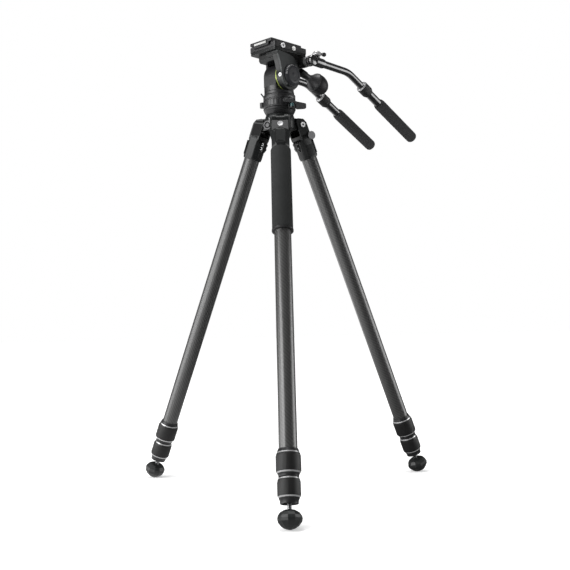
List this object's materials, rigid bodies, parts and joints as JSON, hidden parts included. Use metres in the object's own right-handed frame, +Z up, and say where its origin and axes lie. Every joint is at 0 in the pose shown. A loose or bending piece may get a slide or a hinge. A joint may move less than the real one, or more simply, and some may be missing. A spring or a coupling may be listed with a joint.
{
  "type": "video tripod with fluid head",
  "caption": "Video tripod with telescopic carbon legs, twist locks and ball feet, under a panning and tilting head with a sliding camera plate and telescopic pan handles.",
  "frame": {"origin": "on the floor, on the pan axis, midway between the feet", "axes": "+Z up along the pan axis; -Y towards the front leg; the head is panned so that its tilt axis runs along +X -Y and its handles point to +X +Y"},
  "size_m": [0.6233, 0.6681, 0.9087],
  "materials": {
    "carbon": "woven carbon fibre under clear lacquer",
    "casting": "black semi-matt paint on cast metal",
    "anodised": "black anodised, satin",
    "grey_metal": "grey satin paint",
    "steel": "bright turned steel",
    "rubber": "black ribbed rubber",
    "foam": "dark grey closed-cell foam",
    "accent": "pale green ring",
    "vial": "clear teal liquid vial",
    "white_plastic": "white"
  },
  "bodies": {
    "apex": {"spider": "casting", "hook_knob": "anodised", "mounting_plate": "anodised", "pan_base": "anodised", "bubble_level": "vial"},
    "leg_front": {"leg_front_socket": "casting", "leg_front_pivot_bolt": "steel", "leg_front_upper_tube": "carbon", "leg_front_grip": "foam"},
    "tab_front": {"leg_front_angle_tab": "grey_metal"},
    "upper_lock_front": {"leg_front_upper_lock": "rubber"},
    "middle_front": {"leg_front_middle_tube": "carbon"},
    "lower_lock_front": {"leg_front_lower_lock": "rubber"},
    "lower_front": {"leg_front_lower_tube": "carbon", "leg_front_foot_stud": "steel"},
    "foot_front": {"leg_front_foot": "rubber"},
    "leg_right": {"leg_right_socket": "casting", "leg_right_pivot_bolt": "steel", "leg_right_upper_tube": "carbon"},
    "tab_right": {"leg_right_angle_tab": "casting"},
    "upper_lock_right": {"leg_right_upper_lock": "rubber"},
    "middle_right": {"leg_right_middle_tube": "carbon"},
    "lower_lock_right": {"leg_right_lower_lock": "rubber"},
    "lower_right": {"leg_right_lower_tube": "carbon", "leg_right_foot_stud": "steel"},
    "foot_right": {"leg_right_foot": "rubber"},
    "leg_left": {"leg_left_socket": "casting", "leg_left_pivot_bolt": "steel", "leg_left_upper_tube": "carbon"},
    "tab_left": {"leg_left_angle_tab": "casting"},
    "upper_lock_left": {"leg_left_upper_lock": "rubber"},
    "middle_left": {"leg_left_middle_tube": "carbon"},
    "lower_lock_left": {"leg_left_lower_lock": "rubber"},
    "lower_left": {"leg_left_lower_tube": "carbon", "leg_left_foot_stud": "steel"},
    "foot_left": {"leg_left_foot": "rubber"},
    "pan_lock": {"pan_lock_lever": "grey_metal"},
    "drag_ring": {"pan_drag_ring": "anodised"},
    "pan": {"pan_body": "anodised", "tilt_shaft": "steel", "accent_ring": "accent"},
    "tilt": {"tilt_platform": "casting", "clamp_body": "casting"},
    "dial": {"drag_dial": "anodised"},
    "knob": {"tilt_knob": "rubber"},
    "clamp_screw": {"clamp_knob": "steel"},
    "release": {"release_button": "white_plastic"},
    "plate": {"camera_plate": "casting", "plate_pad": "rubber"},
    "camera_screw": {"camera_screw": "steel"},
    "handle_right": {"handle_right_bar": "anodised"},
    "lever_right": {"handle_right_lever": "grey_metal"},
    "extension_right": {"handle_right_outer_tube": "anodised", "handle_right_grip": "foam"},
    "collar_right": {"handle_right_collar": "rubber"},
    "handle_left": {"handle_left_bar": "anodised"},
    "lever_left": {"handle_left_lever": "grey_metal"},
    "extension_left": {"handle_left_outer_tube": "anodised", "handle_left_grip": "foam"},
    "collar_left": {"handle_left_collar": "rubber"}
  },
  "joints": [
    {"name": "front_leg_spread", "type": "hinge", "parent": "apex", "child": "leg_front", "pos_m": [0, -0.0423, 0.73955], "axis": [-1, 0, 0], "range_deg": [-22, 0]},
    {"name": "front_tab_pull", "type": "slide", "parent": "leg_front", "child": "tab_front", "axis": [0, -0.9272, 0.3746], "range_m": [0, 0.005], "stiffness_N_per_m": 250, "springref_m": -0.003},
    {"name": "front_upper_lock_twist", "type": "hinge", "parent": "leg_front", "child": "upper_lock_front", "pos_m": [0, -0.0423, 0.73955], "axis": [0, -0.3746, -0.9272], "range_deg": [0, 90]},
    {"name": "front_middle_slide", "type": "slide", "parent": "leg_front", "child": "middle_front", "axis": [0, -0.3746, -0.9272], "range_m": [0, 0.48]},
    {"name": "front_lower_lock_twist", "type": "hinge", "parent": "middle_front", "child": "lower_lock_front", "pos_m": [0, -0.0423, 0.73955], "axis": [0, -0.3746, -0.9272], "range_deg": [0, 90]},
    {"name": "front_lower_slide", "type": "slide", "parent": "middle_front", "child": "lower_front", "axis": [0, -0.3746, -0.9272], "range_m": [0, 0.48]},
    {"name": "front_foot_turn", "type": "hinge", "parent": "lower_front", "child": "foot_front", "pos_m": [0, -0.0423, 0.73955], "axis": [0, -0.3746, -0.9272], "range_deg": [-180, 180]},
    {"name": "right_leg_spread", "type": "hinge", "parent": "apex", "child": "leg_right", "pos_m": [0.03663, 0.02115, 0.73955], "axis": [0.5, -0.866, 0], "range_deg": [-22, 0]},
    {"name": "right_tab_pull", "type": "slide", "parent": "leg_right", "child": "tab_right", "axis": [0.803, 0.4636, 0.3746], "range_m": [0, 0.005], "stiffness_N_per_m": 250, "springref_m": -0.003},
    {"name": "right_upper_lock_twist", "type": "hinge", "parent": "leg_right", "child": "upper_lock_right", "pos_m": [0.03663, 0.02115, 0.73955], "axis": [0.3244, 0.1873, -0.9272], "range_deg": [0, 90]},
    {"name": "right_middle_slide", "type": "slide", "parent": "leg_right", "child": "middle_right", "axis": [0.3244, 0.1873, -0.9272], "range_m": [0, 0.48]},
    {"name": "right_lower_lock_twist", "type": "hinge", "parent": "middle_right", "child": "lower_lock_right", "pos_m": [0.03663, 0.02115, 0.73955], "axis": [0.3244, 0.1873, -0.9272], "range_deg": [0, 90]},
    {"name": "right_lower_slide", "type": "slide", "parent": "middle_right", "child": "lower_right", "axis": [0.3244, 0.1873, -0.9272], "range_m": [0, 0.48]},
    {"name": "right_foot_turn", "type": "hinge", "parent": "lower_right", "child": "foot_right", "pos_m": [0.03663, 0.02115, 0.73955], "axis": [0.3244, 0.1873, -0.9272], "range_deg": [-180, 180]},
    {"name": "left_leg_spread", "type": "hinge", "parent": "apex", "child": "leg_left", "pos_m": [-0.03663, 0.02115, 0.73955], "axis": [0.5, 0.866, 0], "range_deg": [-22, 0]},
    {"name": "left_tab_pull", "type": "slide", "parent": "leg_left", "child": "tab_left", "axis": [-0.803, 0.4636, 0.3746], "range_m": [0, 0.005], "stiffness_N_per_m": 250, "springref_m": -0.003},
    {"name": "left_upper_lock_twist", "type": "hinge", "parent": "leg_left", "child": "upper_lock_left", "pos_m": [-0.03663, 0.02115, 0.73955], "axis": [-0.3244, 0.1873, -0.9272], "range_deg": [0, 90]},
    {"name": "left_middle_slide", "type": "slide", "parent": "leg_left", "child": "middle_left", "axis": [-0.3244, 0.1873, -0.9272], "range_m": [0, 0.48]},
    {"name": "left_lower_lock_twist", "type": "hinge", "parent": "middle_left", "child": "lower_lock_left", "pos_m": [-0.03663, 0.02115, 0.73955], "axis": [-0.3244, 0.1873, -0.9272], "range_deg": [0, 90]},
    {"name": "left_lower_slide", "type": "slide", "parent": "middle_left", "child": "lower_left", "axis": [-0.3244, 0.1873, -0.9272], "range_m": [0, 0.48]},
    {"name": "left_foot_turn", "type": "hinge", "parent": "lower_left", "child": "foot_left", "pos_m": [-0.03663, 0.02115, 0.73955], "axis": [-0.3244, 0.1873, -0.9272], "range_deg": [-180, 180]},
    {"name": "pan_lock_turn", "type": "hinge", "parent": "apex", "child": "pan_lock", "pos_m": [0, 0, 0.78335], "axis": [0.342, -0.9397, 0], "range_deg": [0, 35]},
    {"name": "pan_drag_turn", "type": "hinge", "parent": "apex", "child": "drag_ring", "pos_m": [0, 0, 0.793], "axis": [0, 0, 1], "range_deg": [-30, 30]},
    {"name": "pan_turn", "type": "hinge", "parent": "apex", "child": "pan", "pos_m": [0, 0, 0.79815], "axis": [0, 0, 1], "continuous": true},
    {"name": "head_tilt", "type": "hinge", "parent": "pan", "child": "tilt", "pos_m": [0, 0, 0.83365], "axis": [0.7071, -0.7071, 0], "range_deg": [-30, 75]},
    {"name": "dial_turn", "type": "hinge", "parent": "tilt", "child": "dial", "pos_m": [0.02659, -0.02659, 0.83365], "axis": [0.7071, -0.7071, 0], "range_deg": [0, 150]},
    {"name": "tilt_knob_turn", "type": "hinge", "parent": "tilt", "child": "knob", "pos_m": [0.0548, 0.01237, 0.84265], "axis": [0.6725, 0.6725, -0.309], "range_deg": [-90, 90]},
    {"name": "clamp_knob_turn", "type": "hinge", "parent": "tilt", "child": "clamp_screw", "pos_m": [0.00848, -0.04384, 0.88935], "axis": [0.7071, -0.7071, 0], "range_deg": [0, 180]},
    {"name": "release_press", "type": "slide", "parent": "tilt", "child": "release", "axis": [-0.7071, 0.7071, 0], "range_m": [0, 0.002], "stiffness_N_per_m": 100, "springref_m": -0.001},
    {"name": "plate_slide", "type": "slide", "parent": "tilt", "child": "plate", "axis": [0.7071, 0.7071, 0], "range_m": [-0.02, 0.02]},
    {"name": "camera_screw_turn", "type": "hinge", "parent": "plate", "child": "camera_screw", "pos_m": [-0.00513, -0.00513, 0.90345], "axis": [0, 0, 1], "continuous": true},
    {"name": "right_handle_raise", "type": "hinge", "parent": "tilt", "child": "handle_right", "pos_m": [0.06788, -0.01697, 0.86565], "axis": [0.7071, -0.7071, 0], "range_deg": [-20, 60]},
    {"name": "right_lever_turn", "type": "hinge", "parent": "handle_right", "child": "lever_right", "pos_m": [0.07777, -0.00708, 0.86516], "axis": [0.0247, 0.0247, 0.9994], "range_deg": [-90, 0]},
    {"name": "right_handle_slide", "type": "slide", "parent": "handle_right", "child": "extension_right", "axis": [0.6334, 0.6334, -0.4446], "range_m": [-0.03, 0.09]},
    {"name": "right_collar_twist", "type": "hinge", "parent": "extension_right", "child": "collar_right", "pos_m": [0.14703, 0.06218, 0.86174], "axis": [0.6334, 0.6334, -0.4446], "range_deg": [0, 90]},
    {"name": "left_handle_raise", "type": "hinge", "parent": "tilt", "child": "handle_left", "pos_m": [-0.01697, 0.06788, 0.86565], "axis": [0.7071, -0.7071, 0], "range_deg": [-20, 60]},
    {"name": "left_lever_turn", "type": "hinge", "parent": "handle_left", "child": "lever_left", "pos_m": [-0.00708, 0.07777, 0.86516], "axis": [0.0247, 0.0247, 0.9994], "range_deg": [0, 90]},
    {"name": "left_handle_slide", "type": "slide", "parent": "handle_left", "child": "extension_left", "axis": [0.6334, 0.6334, -0.4446], "range_m": [-0.03, 0.09]},
    {"name": "left_collar_twist", "type": "hinge", "parent": "extension_left", "child": "collar_left", "pos_m": [0.06218, 0.14703, 0.86174], "axis": [0.6334, 0.6334, -0.4446], "range_deg": [0, 90]}
  ]
}
